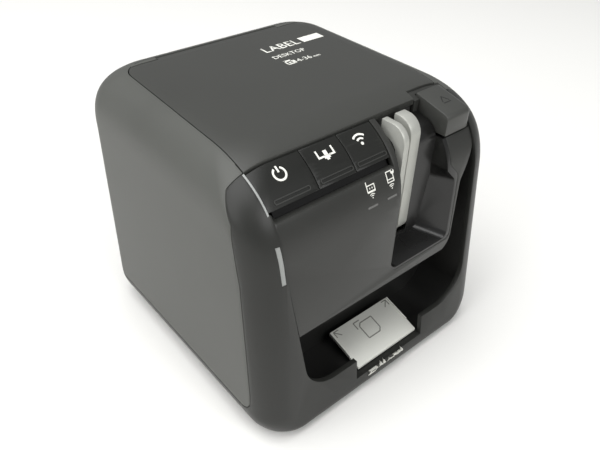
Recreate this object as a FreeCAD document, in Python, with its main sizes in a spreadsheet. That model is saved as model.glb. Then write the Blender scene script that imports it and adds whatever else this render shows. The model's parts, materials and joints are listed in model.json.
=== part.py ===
import FreeCAD, Part
import math
import os
import re

import Sketcher
from fcgear import fcgear, involute

# Desktop label maker. Millimetres, +Z up, front towards -Y.
# The origin is the middle of the footprint, on the surface that the feet stand on.

os.makedirs("parts", exist_ok=True)
doc = FreeCAD.newDocument("LabelMaker")

# ---------------------------------------------------------------- driving sizes
sheet = doc.addObject("Spreadsheet::Sheet", "Sizes")
SIZES = {
    # the body: a block with a raked front, rounded all over
    "body_width": 146, "body_depth": 146, "body_height": 133, "wall": 2.5,
    "foot_drop": 1.5, "side_draft": 2.5, "front_rake": 13.9,
    "top_side_radius": 20.5, "top_front_radius": 35, "top_back_radius": 11,
    "bottom_front_radius": 5, "bottom_side_radius": 15.5, "bottom_back_radius": 17,
    "corner_radius": 14.6,
    # seams between the outer covers
    "seam": 0.4, "fit_gap": 0.2, "base_split": 16.5, "base_front": 50, "seam_corner": 7,
    "seam_foot": 58, "seam_foot_level": 28, "seam_belt": 52.2, "seam_belt_level": 88,
    "seam_shoulder": 47, "seam_shoulder_level": 114, "seam_head_level": 124,
    # lid
    "lid_front": 39, "lid_back": 63, "lid_left_flare": 4, "lid_half_width": 54.3, "lid_corner": 12,
    "lid_notch_width": 19.2, "lid_notch_depth": 5, "hinge_pin_radius": 0.5,
    "hinge_y": 61.4, "hinge_z": 131.8, "hinge_swing": 0.8,
    "running_gap": 0.05, "knuckle_radius": 1.1, "knuckle_inner": 36.4, "knuckle_outer": 50, "pin_reach": 45,
    # opening in the front frame and the tray recess behind it
    "opening_half_width": 57.6, "opening_left_foot": 48, "opening_floor": 23, "opening_shoulder": 98,
    "opening_left_radius": 18, "opening_right_radius": 19, "recess_back": 43,
    "recess_floor": 11, "tub_wall": 2, "tub_top": 109,
    "strip_width": 2.1, "strip_top": 107, "strip_foot": 89.5, "strip_lean": 0.5, "strip_thin": 1.5,
    "strip_sink": 0.2, "strip_upper_foot": 116,
    # front panel block with its niche
    "panel_inset": 0.8, "panel_bottom": 58, "panel_left_foot": 51.7, "panel_right_foot": 44,
    "panel_right_head": 48.2, "panel_neck": 94, "panel_shoulder": 109, "panel_corner_radius": 9,
    "panel_neck_radius": 7, "niche_left_foot": 2, "niche_left_head": 9.5, "niche_right_head": 38.5,
    "niche_right_foot": 42, "niche_right_wide": 46.2, "niche_step": 96, "niche_jog": 6, "niche_floor": 65,
    "niche_back": 51.5, "niche_wall": 1.2, "niche_radius": 4, "niche_crown": 120,
    "niche_rise": 5, "niche_sink": 0.12, "niche_mouth": 66, "niche_taper": 0.5, "niche_floor_taper": 0.14,
    "niche_rim": 2.2, "panel_roll": 7,
    # keys
    "key_left": 58, "key_split_one": 33, "key_split_two": 13.2, "key_right": 6,
    "key_front": 54.5, "key_bottom": 117.9, "key_gap": 0.35, "key_back_gap": 0.6,
    "key_thickness": 2.6, "key_window_bottom": 114, "key_room": 1, "bezel_thickness": 1.2,
    "bezel_foot": 106, "switch_side": 5, "switch_y": -47, "key_board_level": 110, "switch_top": 117.9,
    # open button
    "open_left": 38.8, "open_right": 57, "open_back": 36.5, "open_front": 56,
    "open_top": 131, "open_nose": 126.6, "open_bottom": 117, "open_travel": 1,
    "open_edge_radius": 2.5, "open_side_radius": 4, "open_skirt": 3, "open_heel": 6,
    # tape path
    "tape_plane": 18, "slot_width": 4.4, "guide_left_width": 3.4, "guide_right_width": 6.4,
    "guide_top_radius": 8, "guide_front": 52, "guide_foot": 69, "guide_head": 128.6,
    "guide_back": 41, "guide_foot_radius": 6, "guide_left_set": -3.2,
    "slot_top": 119, "slot_foot": 74,
    # tray
    "tray_left": 15, "tray_right": 26.4, "tray_thickness": 1.6, "tray_back": 47, "tray_back_level": 19.5,
    "tray_fold": 62.5, "tray_fold_level": 15.3, "tray_front": 68.6, "tray_front_level": 13.4,
    "notch_left": 19, "notch_right": 27.2, "notch_floor": 11.2,
    "runner_width": 3, "runner_inset": 3, "runner_gap": 0.2,
    # cartridge bay
    "bay_half_width": 50, "bay_front": 36, "bay_back": 56.5, "bay_floor": 70, "bay_top": 127, "bay_wall": 2,
    # rollers and gears
    "platen_radius": 6, "platen_shaft_radius": 2, "platen_x": 11.7, "platen_y": -27, "roller_length": 40,
    "roller_bottom": 74, "shaft_foot": 3, "shaft_head": 4, "gear_thickness": 4, "gear_level": 50,
    "gear_module": 0.8, "platen_teeth": 28, "motor_teeth": 12, "ribbon_teeth": 24, "mesh_gap": 0.15,
    "ribbon_spindle_radius": 4, "ribbon_shaft_radius": 1.5, "motor_shaft_radius": 1, "motor_clear": 2,
    "post_height": 30, "post_x": 18, "post_y": 22, "core_post_radius": 9,
    "motor_radius": 12, "motor_length": 34,
    # print head
    "head_thickness": 1.2, "head_gap": 0.4, "head_half": 5, "plate_thickness": 2, "plate_reach": 9,
    "fin_pitch": 3, "fin_depth": 4, "fin_thickness": 1, "head_pivot_x": 27, "head_pivot_y": -13,
    "head_pivot_radius": 1.5, "pivot_spare": 6, "lever_gap": 0.5, "lever_spare": 4,
    # cutter
    "blade_thickness": 0.6, "blade_y": -40, "blade_width": 9, "blade_foot": 4, "cutter_clear": 1,
    "cutter_screw_radius": 1.5, "carrier_width": 6, "carrier_height": 8, "carrier_depth": 5.5,
    "spindle_set": 3, "spindle_reach": 22, "spindle_length": 32,
    # boards
    "board_thickness": 1.6, "board_level": 8.5, "board_half_width": 50, "board_front": 30,
    "module_left": 46, "module_front": 24, "module_width": 12, "module_depth": 18, "module_height": 2.4,
    # battery and sockets
    "battery_front": 20, "battery_clear": 3, "contact_pitch": 15, "contact_margin": 4, "contact_width": 8,
    "contact_thickness": 0.5, "contact_foot": 6, "contact_head": 10,
    "port_left": -30, "port_width": 54, "port_bottom": 64, "port_height": 18, "port_reach": 25,
    "port_margin": 3, "port_sill": 2, "socket_set": 2.5, "socket_wall": 1.2,
    "door_pin_y": 71.9, "door_pin_z": 23.5, "door_pin_radius": 0.5, "door_barrel_radius": 0.9,
    "door_pin_hold": 1.5, "door_half_width": 46, "door_bottom": 22, "door_top": 60,
    # feet and screws
    "screw_radius": 1.5, "screw_length": 3.5, "foot_radius": 6, "foot_inset": 22,
}
for row, (name, value) in enumerate(SIZES.items(), start=1):
    sheet.set(f"A{row}", name)
    sheet.set(f"B{row}", str(value))
    sheet.setAlias(f"B{row}", name)
doc.recompute()


def size(expression):
    """The value of an expression written with the sheet's names."""
    names = {name: float(sheet.get(name)) for name in SIZES}
    written = re.sub(r"[a-z][a-z_]+", lambda word: repr(names[word.group()]), expression)
    return FreeCAD.Units.Quantity(written).Value


def linked(expression):
    """The same expression with each name pointing at the sheet."""
    return re.sub(r"[a-z][a-z_]+", r"Sizes.\g<0>", str(expression))


# ---------------------------------------------------------------- ways to make a piece
def block(label, low, high):
    """A box between two corners, each given as three expressions."""
    item = doc.addObject("Part::Box", label)
    for axis, side, start, end in zip("xyz", ("Length", "Width", "Height"), low, high):
        item.setExpression("Placement.Base." + axis, linked(start))
        item.setExpression(side, linked(f"({end}) - ({start})"))
    return item


TURNS = {"X": ((0, 1, 0), 90), "Y": ((1, 0, 0), -90), "Z": ((0, 0, 1), 0)}


def rod(label, start, radius, length, along="Z"):
    """A cylinder that begins at start and runs along one axis."""
    item = doc.addObject("Part::Cylinder", label)
    axis, angle = TURNS[along]
    item.Placement.Rotation = FreeCAD.Rotation(FreeCAD.Vector(*axis), angle)
    for letter, place in zip("xyz", start):
        item.setExpression("Placement.Base." + letter, linked(place))
    item.setExpression("Radius", linked(radius))
    item.setExpression("Height", linked(length))
    return item


def joined(label, *pieces):
    item = doc.addObject("Part::MultiFuse", label)
    item.Shapes = list(pieces)
    return item


def overlap(label, *pieces):
    item = doc.addObject("Part::MultiCommon", label)
    item.Shapes = list(pieces)
    return item


def less(label, base, *tools):
    """The base with every tool cut away."""
    item = doc.addObject("Part::Cut", label)
    item.Base = base
    item.Tool = tools[0] if len(tools) == 1 else joined(label + "_tools", *tools)
    return item


def flat_body(label, plane, corners, start, length):
    """A PartDesign body: one outline, its corners held by the sheet, padded from start."""
    body = doc.addObject("PartDesign::Body", label)
    sketch = body.newObject("Sketcher::SketchObject", label + "_outline")
    origin = {item.Role: item for item in body.Origin.OriginFeatures}
    sketch.AttachmentSupport = [(origin[plane], "")]
    sketch.MapMode = "FlatFace"
    sketch.setExpression("AttachmentOffset.Base.z", linked(start))
    points = [FreeCAD.Vector(size(across), size(up), 0) for across, up in corners]
    for begin, end in zip(points, points[1:] + points[:1]):
        sketch.addGeometry(Part.LineSegment(begin, end))
    last = len(points)
    for side in range(last):
        sketch.addConstraint(Sketcher.Constraint("Coincident", side, 2, (side + 1) % last, 1))
    for side, corner in enumerate(corners):
        for kind, place in zip(("DistanceX", "DistanceY"), corner):
            held = Sketcher.Constraint(kind, -1, 1, side, 1, size(place))
            sketch.setExpression(f"Constraints[{sketch.addConstraint(held)}]", linked(place))
    pad = body.newObject("PartDesign::Pad", label + "_pad")
    pad.Profile = sketch
    pad.setExpression("Length", linked(length))
    body.Tip = pad
    doc.recompute()
    return body


def rounded(body, radius, chosen):
    """A PartDesign fillet on the edges of the body's tip that chosen() picks."""
    base = body.Tip
    names = [f"Edge{n}" for n, edge in enumerate(base.Shape.Edges, start=1) if chosen(edge)]
    fillet = body.newObject("PartDesign::Fillet", f"{body.Name}_round{len(body.Group)}")
    fillet.Base = (base, names)
    fillet.setExpression("Radius", linked(radius))
    body.Tip = fillet
    doc.recompute()
    return body


def shaped(label, shape):
    """A plain feature, for a form that neither a sketch nor a primitive gives."""
    item = doc.addObject("Part::Feature", label)
    item.Shape = shape
    return item


# ---------------------------------------------------------------- the body's rounded form
def roll(radius, depth):
    """How far an edge of this radius draws in, at a depth below the face that it meets."""
    if depth >= radius:
        return 0
    return radius - math.sqrt(max(radius ** 2 - (radius - depth) ** 2, 0))


def hull_section(level, inset):
    """Half width, front and back of the hull at one level, drawn in by inset."""
    down = size("body_height") - inset - level
    up = level - size("foot_drop") - inset
    least = size("seam")
    radius = {name: max(size(name + "_radius") - inset, least) for name in (
        "top_side", "top_front", "top_back", "bottom_side", "bottom_front", "bottom_back")}
    rise = level / size("body_height")
    half_width = (size("body_width / 2 - side_draft") + size("side_draft") * (1 - rise) - inset
                  - roll(radius["top_side"], down) - roll(radius["bottom_side"], up))
    front = (size("-body_depth / 2") + inset + size("front_rake") * rise
             + roll(radius["top_front"], down) + roll(radius["bottom_front"], up))
    back = (size("body_depth / 2") - inset
            - roll(radius["top_back"], down) - roll(radius["bottom_back"], up))
    return half_width, front, back


def round_rectangle(half_width, front, back, radius, level):
    """A closed wire at one level: four sides and four quarter-round corners."""
    edges = []
    centres = [(half_width - radius, front + radius, 270), (half_width - radius, back - radius, 0),
               (radius - half_width, back - radius, 90), (radius - half_width, front + radius, 180)]
    arcs = []
    for x, y, start in centres:
        turn = [math.radians(start + step) for step in (0, 45, 90)]
        arcs.append(Part.Arc(*[FreeCAD.Vector(x + radius * math.cos(a), y + radius * math.sin(a), level)
                               for a in turn]).toShape())
    for arc, following in zip(arcs, arcs[1:] + arcs[:1]):
        edges.append(arc)
        edges.append(Part.LineSegment(arc.Vertexes[-1].Point, following.Vertexes[0].Point).toShape())
    return Part.Wire(edges)


def hull(inset):
    """The whole rounded form as one solid, its faces drawn in by inset."""
    top, base = size("body_height") - inset, size("foot_drop") + inset
    high = size("top_front_radius") - inset
    low = size("bottom_back_radius") - inset
    turns = [math.radians(angle) for angle in (0, 8, 16, 25, 35, 45, 55, 65, 78, 90)]
    levels = [base + low * (1 - math.cos(angle)) for angle in turns]
    gap = top - high - levels[-1]
    levels += [levels[-1] + gap * share for share in (0.06, 0.2, 0.4, 0.6, 0.8, 0.94)]
    levels += [top - high * (1 - math.cos(angle)) for angle in reversed(turns)]
    radius = size("corner_radius") - inset
    wires = [round_rectangle(*hull_section(level, inset), radius, level) for level in levels]
    return Part.makeLoft(wires, True, False)


# ---------------------------------------------------------------- the skin and its zones
hull_outer = shaped("hull_outer", hull(0))
hull_inner = shaped("hull_inner", hull(size("wall")))
skin = less("skin", hull_outer, hull_inner)

FAR = "body_width"          # past the body in any direction


def upright(edge):
    """True for an edge that runs along Z."""
    box = edge.BoundBox
    return box.ZLength > 1 and box.XLength < 0.01 and box.YLength < 0.01


def along_y(edge):
    box = edge.BoundBox
    return box.YLength > 1 and box.XLength < 0.01 and box.ZLength < 0.01


def along_x(edge):
    box = edge.BoundBox
    return box.XLength > 1 and box.YLength < 0.01 and box.ZLength < 0.01


def near(edge, **place):
    """True where the middle of the edge's box is at the place given, within 1 mm."""
    centre = edge.BoundBox.Center
    return all(abs(getattr(centre, axis) - size(where)) < 1 for axis, where in place.items())


def front_seam(grow, rise):
    """The seam between the side cover and the front frame, seen from the side."""
    return [(f"-seam_foot + {grow}", f"base_split + {rise}"), (f"-seam_foot + {grow}", "seam_foot_level"),
            (f"-seam_belt + {grow}", "seam_belt_level"),
            (f"-seam_shoulder + {grow}", "seam_shoulder_level"),
            (f"-lid_front + {grow}", "seam_head_level"), (f"-lid_front + {grow}", FAR)]


# Each side of the seam keeps half its width back from the line.
side_zone = flat_body("side_zone", "YZ_Plane",
                      [("body_depth", "base_split + seam / 2")] + front_seam("seam / 2", "seam / 2")
                      + [("body_depth", FAR)], f"-{FAR}", f"2 * {FAR}")
rounded(side_zone, "seam_corner", lambda edge: along_x(edge)
        and near(edge, y="-seam_foot + seam / 2", z="base_split + seam / 2"))
frame_zone = flat_body("frame_zone", "YZ_Plane",
                       [("-body_depth", "0"), ("-base_front - seam", "0"),
                        ("-base_front - seam", "base_split - seam / 2")]
                       + front_seam("-seam / 2", "-seam / 2") + [("-body_depth", FAR)],
                       f"-{FAR}", f"2 * {FAR}")
rounded(frame_zone, "seam_corner + seam", lambda edge: along_x(edge)
        and near(edge, y="-seam_foot - seam / 2", z="base_split - seam / 2"))


def lid_outline(grow):
    """The lid's edge from above, with the notch at its front right corner."""
    right = f"lid_half_width + {grow}"
    return [(f"-lid_half_width - {grow}", f"lid_back + {grow}"),
            (f"-lid_half_width - lid_left_flare - {grow}", f"-lid_front - {grow}"),
            (f"lid_half_width - lid_notch_width + {grow}", f"-lid_front - {grow}"),
            (f"lid_half_width - lid_notch_width + {grow}", f"-lid_front + lid_notch_depth - {grow}"),
            (right, f"-lid_front + lid_notch_depth - {grow}"), (right, f"lid_back + {grow}")]


def lid_prism(label, grow):
    prism = flat_body(label, "XY_Plane", lid_outline(grow), "bay_floor", "body_height")
    return rounded(prism, "lid_corner", lambda edge: upright(edge) and edge.BoundBox.YMin > size("lid_back - seam"))


lid_zone = lid_prism("lid_zone", "-seam / 2")
lid_gap = lid_prism("lid_gap", "seam / 2")
top_mouth = block("top_mouth", ("-lid_half_width - lid_left_flare - seam / 2", "-lid_front - seam", "bay_floor"),
                  ("open_right", "-lid_front + lid_notch_depth", FAR))


def opening_outline(floor):
    """The mouth of the front frame, seen from the front."""
    return [("-opening_half_width", FAR), ("-opening_half_width", "opening_shoulder"),
            ("-opening_left_foot", floor), ("opening_half_width", floor),
            ("opening_half_width", FAR)]


def opening_prism(label, floor, start, length, left_radius, right_radius):
    prism = flat_body(label, "XZ_Plane", opening_outline(floor), start, length)
    rounded(prism, left_radius, lambda edge: along_y(edge) and edge.BoundBox.XMax < 0
            and edge.BoundBox.ZMax < size(floor) + 1)
    return rounded(prism, right_radius, lambda edge: along_y(edge) and edge.BoundBox.XMax > 0
                   and edge.BoundBox.ZMax < size(floor) + 1)


mouth = opening_prism("mouth", "opening_floor", "lid_front - 1", "body_depth",
                      "opening_left_radius", "opening_right_radius")

# ---------------------------------------------------------------- outer covers
battery_hole = block("battery_hole", ("-door_half_width", "body_depth / 2 - wall - battery_clear", "door_bottom"),
                     ("door_half_width", FAR, "door_top"))
port_hole = block("port_hole", ("port_left", "body_depth / 2 - port_reach", "port_bottom"),
                  ("port_left + port_width", FAR, "port_bottom + port_height"))
door_pin_seat = rod("door_pin_seat", ("-door_half_width - door_pin_hold", "door_pin_y", "door_pin_z"),
                    "door_pin_radius + running_gap", "2 * door_half_width + 2 * door_pin_hold", "X")
rear_region = overlap("rear_region", skin, side_zone)
main_shell = less("main_shell", rear_region, lid_gap, top_mouth, battery_hole, port_hole,
                  door_pin_seat)

strip_slot_low = flat_body(
    "strip_slot_low", "XZ_Plane",
    [("-opening_half_width - strip_width - strip_lean", "strip_top"),
     ("-opening_half_width - strip_lean", "strip_top"),
     ("-opening_half_width + strip_lean", "strip_foot"),
     ("-opening_half_width - strip_width + strip_lean", "strip_foot")],
    "opening_half_width / 2", "body_depth")
strip_slot_high = block(
    "strip_slot_high",
    ("-opening_half_width - strip_thin", "-key_front", "strip_upper_foot"),
    ("-opening_half_width + 1", "-lid_front - seam / 2", FAR))
tray_notch = block("tray_notch", ("-notch_left", "-body_depth", "notch_floor"),
                   ("notch_right", "-recess_back", "opening_floor + 1"))
frame_region = overlap("frame_region", skin, frame_zone)
front_frame = less("front_frame", frame_region, mouth, strip_slot_low, strip_slot_high, tray_notch)

base_zone = block("base_zone", (f"-{FAR}", "-base_front", "0"), (FAR, FAR, "base_split - seam / 2"))
base_cover = overlap("base_cover", skin, base_zone)

lid_plate = overlap("lid_plate", skin, lid_zone)
barrel = rod("lid_barrel", ("-knuckle_inner + seam", "hinge_y", "hinge_z"), "knuckle_radius",
             "2 * knuckle_inner - 2 * seam", "X")
swing_line = "hinge_y - knuckle_radius - hinge_swing"
lid_edge_cut = block("lid_edge_cut", ("-knuckle_outer - seam", swing_line, "bay_floor"),
                     ("knuckle_outer + seam", FAR, FAR))
lid_trimmed = less("lid_trimmed", lid_plate, lid_edge_cut)
lid_web = block("lid_web", ("-knuckle_inner + seam", f"{swing_line} - seam", "hinge_z - knuckle_radius"),
                ("knuckle_inner - seam", "hinge_y", "hinge_z + knuckle_radius"))
pin_bore = rod("pin_bore", ("-pin_reach", "hinge_y", "hinge_z"), "hinge_pin_radius", "2 * pin_reach", "X")
lid_whole = joined("lid_whole", lid_trimmed, barrel, lid_web)
top_lid = less("top_lid", lid_whole, pin_bore)

hinge_pin = rod("lid_hinge_pin", ("-pin_reach + seam", "hinge_y", "hinge_z"), "hinge_pin_radius",
                "2 * pin_reach - 2 * seam", "X")
ear_bore = rod("ear_bore", ("-pin_reach", "hinge_y", "hinge_z"), "hinge_pin_radius + running_gap",
               "2 * pin_reach", "X")


def knuckle(label, low, high):
    """One ear that carries the lid's pin: flush with the lid, with a web to the back rim."""
    flush = overlap(label + "_flush", skin, lid_zone,
                    block(label + "_zone", (low, "hinge_y - knuckle_radius", "bay_floor"), (high, FAR, FAR)))
    eye = rod(label + "_eye", (low, "hinge_y", "hinge_z"), "knuckle_radius", f"({high}) - ({low})", "X")
    web = block(label + "_web", (low, "hinge_y", "hinge_z - knuckle_radius"),
                (high, "lid_back + seam / 2", "hinge_z + knuckle_radius / 2"))
    return overlap(label, joined(label + "_solid", eye, web, flush), lid_gap)


both_ears = joined("both_ears", knuckle("ear_left", "-knuckle_outer", "-knuckle_inner"),
                   knuckle("ear_right", "knuckle_inner", "knuckle_outer"))
lid_hinge_ears = less("lid_hinge_ears", both_ears, ear_bore)

# ---------------------------------------------------------------- front panel and niche
panel_hull = shaped("panel_hull", hull(size("panel_inset")))
panel_hollow = shaped("panel_hollow", hull(size("panel_inset + wall")))


def panel_outline(inset):
    """The panel block from the front: straight foot, and a right side that runs out to the frame."""
    side = f"opening_half_width - seam - {inset}"
    return [(f"-opening_half_width + seam + {inset}", FAR),
            (f"-opening_half_width + seam + {inset}", "opening_shoulder"),
            (f"-panel_left_foot + {inset}", f"panel_bottom + {inset}"),
            (f"panel_right_foot - {inset}", f"panel_bottom + {inset}"),
            (f"panel_right_head - {inset}", "panel_neck"),
            (side, "panel_shoulder"), (side, FAR)]


def panel_prism(label, inset, length):
    prism = flat_body(label, "XZ_Plane", panel_outline(inset), "lid_front + seam / 2", length)
    rounded(prism, "panel_corner_radius", lambda edge: along_y(edge)
            and near(edge, x=f"panel_right_foot - {inset}", z=f"panel_bottom + {inset}"))
    return rounded(prism, "panel_neck_radius", lambda edge: along_y(edge) and (
        near(edge, x=f"panel_right_head - {inset}", z="panel_neck")
        or near(edge, x=f"opening_half_width - seam - {inset}", z="panel_shoulder")))


panel_zone = panel_prism("panel_zone", "0", "body_depth")
panel_core = panel_prism("panel_core", "wall", "body_depth")
notch_filler = block("notch_filler",
                     ("lid_half_width - lid_notch_width + seam / 2", "-lid_front - 1", "panel_shoulder"),
                     ("open_right - seam", "-lid_front + lid_notch_depth - seam / 2", FAR))
panel_area = joined("panel_area", panel_zone, notch_filler)
panel_profile = flat_body("panel_profile", "YZ_Plane",
                          [("panel_inset - body_depth / 2 + front_rake * panel_bottom / body_height", "panel_bottom"),
                           ("0", "panel_bottom"), ("0", FAR), ("-body_depth", FAR)],
                          f"-{FAR}", f"2 * {FAR}")
rounded(panel_profile, "panel_roll", lambda edge: along_x(edge) and edge.BoundBox.ZMax < size("panel_bottom + 1")
        and edge.BoundBox.YMax < size("-recess_back"))
panel_solid = overlap("panel_solid", panel_hull, panel_area, panel_profile)
panel_void = overlap("panel_void", panel_hollow, panel_core)
key_window = block("key_window", ("-opening_half_width - 1", "-body_depth", "key_window_bottom"),
                   ("key_right + key_gap", "-lid_front + 1", FAR))


def niche_outline(grow, left, under, depth):
    """The niche from the front at one depth behind its mouth: its right side and floor draw in with depth."""
    drawn = f"niche_taper * ({depth})"
    foot = f"niche_floor - {under} + niche_floor_taper * ({depth})"
    return [(f"niche_left_head - {left}", FAR), (f"niche_left_head - {left}", "key_bottom"),
            (f"niche_left_foot - {left}", foot),
            (f"niche_right_foot + {grow} - {drawn}", foot),
            (f"niche_right_wide + {grow} - {drawn}", f"niche_step + {grow}"),
            (f"niche_right_head + {grow}", f"niche_step + niche_jog + {grow}"),
            (f"niche_right_head + {grow}", FAR)]


def soft_wire(corners, radius, chosen):
    """A closed wire through the corners, with a tangent arc in place of each chosen corner."""
    edges, ends = [], []
    for n, corner in enumerate(corners):
        if n not in chosen:
            ends.append((corner, corner))
            continue
        back = (corners[n - 1] - corner).normalize()
        ahead = (corners[(n + 1) % len(corners)] - corner).normalize()
        half = back.getAngle(ahead) / 2
        middle = corner + (back + ahead).normalize() * (radius / math.sin(half) - radius)
        start, end = corner + back * (radius / math.tan(half)), corner + ahead * (radius / math.tan(half))
        edges.append(Part.Arc(start, middle, end).toShape())
        ends.append((start, end))
    for (_, start), (end, _) in zip(ends, ends[1:] + ends[:1]):
        edges.append(Part.LineSegment(start, end).toShape())
    return Part.Wire(Part.__sortEdges__(edges))


def niche_funnel(label, grow, left, under):
    """A solid between the niche's outline in front of the body and the one behind the niche's back wall."""
    wires = []
    for y in ("-body_depth / 2", "-lid_front - seam / 2"):
        outline = niche_outline(grow, left, under, f"{y} + niche_mouth")
        corners = [FreeCAD.Vector(size(x), size(y), size(z)) for x, z in outline]
        wires.append(soft_wire(corners, size("niche_radius"), (2, 3, 4)))
    return shaped(label, Part.makeLoft(wires, True, True))


def niche_depth(label, deeper):
    """The space in front of the niche's back wall: upright, then curving back over the top."""
    back = f"-niche_back + {deeper}"
    prism = flat_body(label, "YZ_Plane",
                      [("-body_depth", "panel_bottom"), (back, "panel_bottom"), (back, "niche_crown"),
                       ("-lid_front + lid_notch_depth", "niche_crown + niche_rise"),
                       ("-lid_front + lid_notch_depth", FAR), ("-body_depth", FAR)], "0", "body_width / 2")
    return rounded(prism, "guide_top_radius", lambda edge: along_x(edge) and near(edge, y=back, z="niche_crown"))


niche_air = overlap("niche_air", niche_funnel("niche_inner_zone", "0", "0", "0"),
                    niche_depth("niche_inner_depth", "0"))
niche_outer_depth = niche_depth("niche_outer_depth", "niche_wall")
niche_mouth_cut = overlap("niche_mouth_cut", niche_outer_depth,
                          niche_funnel("niche_mouth_zone", "niche_rim", "0", "niche_wall"))
niche_block = overlap("niche_block", niche_outer_depth,
                      niche_funnel("niche_outer_zone", "niche_rim", "niche_wall", "niche_wall"))
open_cut = block("open_cut", ("open_left - key_gap", "-body_depth", "open_bottom - open_travel - key_gap"),
                 ("open_right", "-open_back + key_gap", FAR))
tub_room = block("tub_room", (f"-{FAR}", "-recess_back - seam", "0"), (FAR, "0", "tub_top + seam"))
front_panel = less("front_panel", panel_solid, panel_void, key_window, niche_mouth_cut, open_cut,
                   tub_room)

niche_hull = shaped("niche_hull", hull(size("panel_inset + niche_sink")))
slot_cut = block("slot_cut",
                 ("tape_plane - slot_width / 2 - guide_left_width - fit_gap", "-body_depth",
                  "guide_foot - fit_gap"),
                 ("tape_plane + slot_width / 2 + guide_right_width + fit_gap", "0", FAR))
niche_body = overlap("niche_body", niche_block, niche_hull)
panel_under = shaped("panel_under", hull(size("panel_inset + wall + fit_gap")))
panel_lip = less("panel_lip", less("panel_lip_skin", panel_hull, panel_under), niche_mouth_cut)
exit_niche = less("exit_niche", niche_body, niche_air, slot_cut, open_cut, panel_lip)


def exit_guide(label, low, high, front):
    """One bright blade beside the tape, rounded at its head and foot."""
    blade = flat_body(label, "YZ_Plane",
                      [(f"-{front}", "guide_foot"), (f"-{front}", "guide_head"),
                       ("-guide_back", "guide_head"), ("-guide_back", "guide_foot")],
                      low, f"({high}) - ({low})")
    rounded(blade, "guide_top_radius", lambda edge: along_x(edge) and near(edge, y=f"-{front}", z="guide_head"))
    return rounded(blade, "guide_foot_radius",
                   lambda edge: along_x(edge) and near(edge, y=f"-{front}", z="guide_foot"))


exit_guide_left = exit_guide("exit_guide_left", "tape_plane - slot_width / 2 - guide_left_width",
                             "tape_plane - slot_width / 2", "guide_front + guide_left_set")
exit_guide_right = exit_guide("exit_guide_right", "tape_plane + slot_width / 2",
                              "tape_plane + slot_width / 2 + guide_right_width", "guide_front")

# ---------------------------------------------------------------- light strips
strip_hull = shaped("strip_hull", hull(size("strip_sink")))
strip_skin = less("strip_skin", strip_hull, hull_inner)
strip_upper_zone = block("strip_upper_zone",
                         ("-opening_half_width - strip_thin", "-key_front", "strip_upper_foot"),
                         ("-key_left - key_gap / 2", "-lid_front - seam / 2", FAR))
light_strip_upper = overlap("light_strip_upper", strip_skin, strip_upper_zone)
light_strip_lower = overlap("light_strip_lower", strip_skin, strip_slot_low)

# ---------------------------------------------------------------- keys
key_floor = shaped("key_floor", hull(size("panel_inset + key_thickness")))
bezel_top = shaped("bezel_top", hull(size("panel_inset + key_thickness + key_room")))
bezel_under = shaped("bezel_under", hull(size("panel_inset + key_thickness + key_room + bezel_thickness")))
key_skin = less("key_skin", panel_hull, key_floor)
bezel_zone = block("bezel_zone", ("-opening_half_width + wall + seam", "-body_depth", "bezel_foot"),
                   ("key_right + key_gap", "-lid_front - seam", FAR))
bezel_plate = overlap("bezel_plate", less("bezel_skin", bezel_top, bezel_under), bezel_zone)
KEYS = {"power": ("-key_left", "-key_split_one"), "feed_cut": ("-key_split_one", "-key_split_two"),
        "wireless": ("-key_split_two", "key_right")}


def key(name, left, right):
    """One key: a piece of the front roll, down to the black gap above the panel."""
    cap = block(name + "_cap", (f"{left} + key_gap / 2", "-body_depth", "key_bottom"),
                (f"{right} - key_gap / 2", "-lid_front - key_back_gap", FAR))
    return overlap(name + "_button", key_skin, cap)


def switch_box(name, left, right, spare, low, high):
    """The space of one tact switch, under the middle of its key."""
    middle = f"({left} + {right}) / 2"
    return block(name, (f"{middle} - switch_side / 2 - {spare}", f"switch_y - switch_side / 2 - {spare}", low),
                 (f"{middle} + switch_side / 2 + {spare}", f"switch_y + switch_side / 2 + {spare}", high))


for name, (left, right) in KEYS.items():
    key(name, left, right)
key_bezel = less("key_bezel", bezel_plate, *[
    switch_box(name + "_switch_hole", *sides, "seam", "key_board_level", FAR) for name, sides in KEYS.items()])
tact_switches = joined("tact_switches", *[
    switch_box(name + "_switch", *sides, "0", "key_board_level + board_thickness", "switch_top")
    for name, sides in KEYS.items()])
key_board = block("key_board", ("-opening_half_width + 2 * wall", "switch_y - switch_side", "key_board_level"),
                  ("key_right - switch_side", "-lid_front - seam", "key_board_level + board_thickness"))

# ---------------------------------------------------------------- open button
open_button = flat_body("open_button", "YZ_Plane",
                        [("-open_back", "open_nose - open_skirt"), ("-open_front + open_heel", "open_bottom"),
                         ("-open_front", "open_bottom"), ("-open_front", "open_nose"),
                         ("-open_back", "open_top")],
                        "open_left", "open_right - key_gap - open_left")
rounded(open_button, "open_edge_radius",
        lambda edge: along_x(edge) and near(edge, y="-open_front", z="open_nose"))
rounded(open_button, "open_side_radius", lambda edge: edge.BoundBox.XMin > size("open_right - key_gap") - 0.01
        and edge.BoundBox.ZMin > size("open_nose - open_skirt - seam") and edge.BoundBox.YLength > 10)


# ---------------------------------------------------------------- tray recess
def tub_outline(grow):
    """The recess from the front: the frame's mouth, carried down to the recess floor."""
    return [(f"-opening_half_width - {grow}", "tub_top"),
            (f"-opening_half_width - {grow}", "opening_shoulder"),
            (f"-opening_left_foot - {grow}", f"recess_floor - {grow}"),
            (f"opening_half_width + {grow}", f"recess_floor - {grow}"),
            (f"opening_half_width + {grow}", "tub_top")]


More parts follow.
